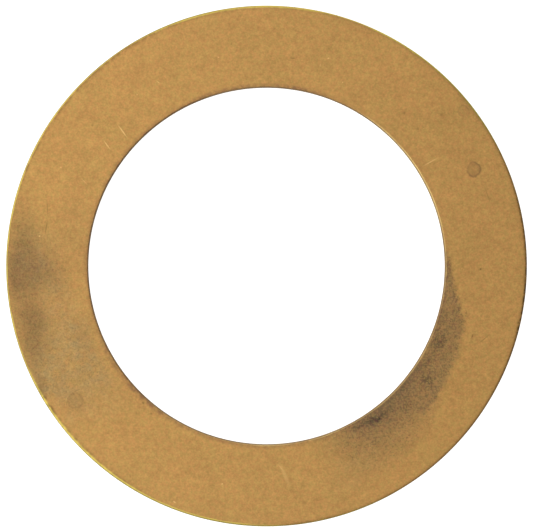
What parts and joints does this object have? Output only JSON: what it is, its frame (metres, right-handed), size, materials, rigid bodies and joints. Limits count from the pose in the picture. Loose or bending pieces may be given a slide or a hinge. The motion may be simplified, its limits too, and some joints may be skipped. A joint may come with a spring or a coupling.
{
  "type": "flat washer",
  "caption": "Round flat brass washer with a wide plain bore and softly rolled upper corners.",
  "frame": {"origin": "centre of the bore at the underside", "axes": "+Z along the axis of the bore, towards the face with the rolled corners; the washer is round, so +X and +Y are free, and +Y is the top of the picture"},
  "size_m": [0.0508, 0.0508, 0.0016],
  "materials": {
    "brass": "satin"
  },
  "bodies": {
    "root": {"flat_washer": "brass"}
  },
  "joints": []
}
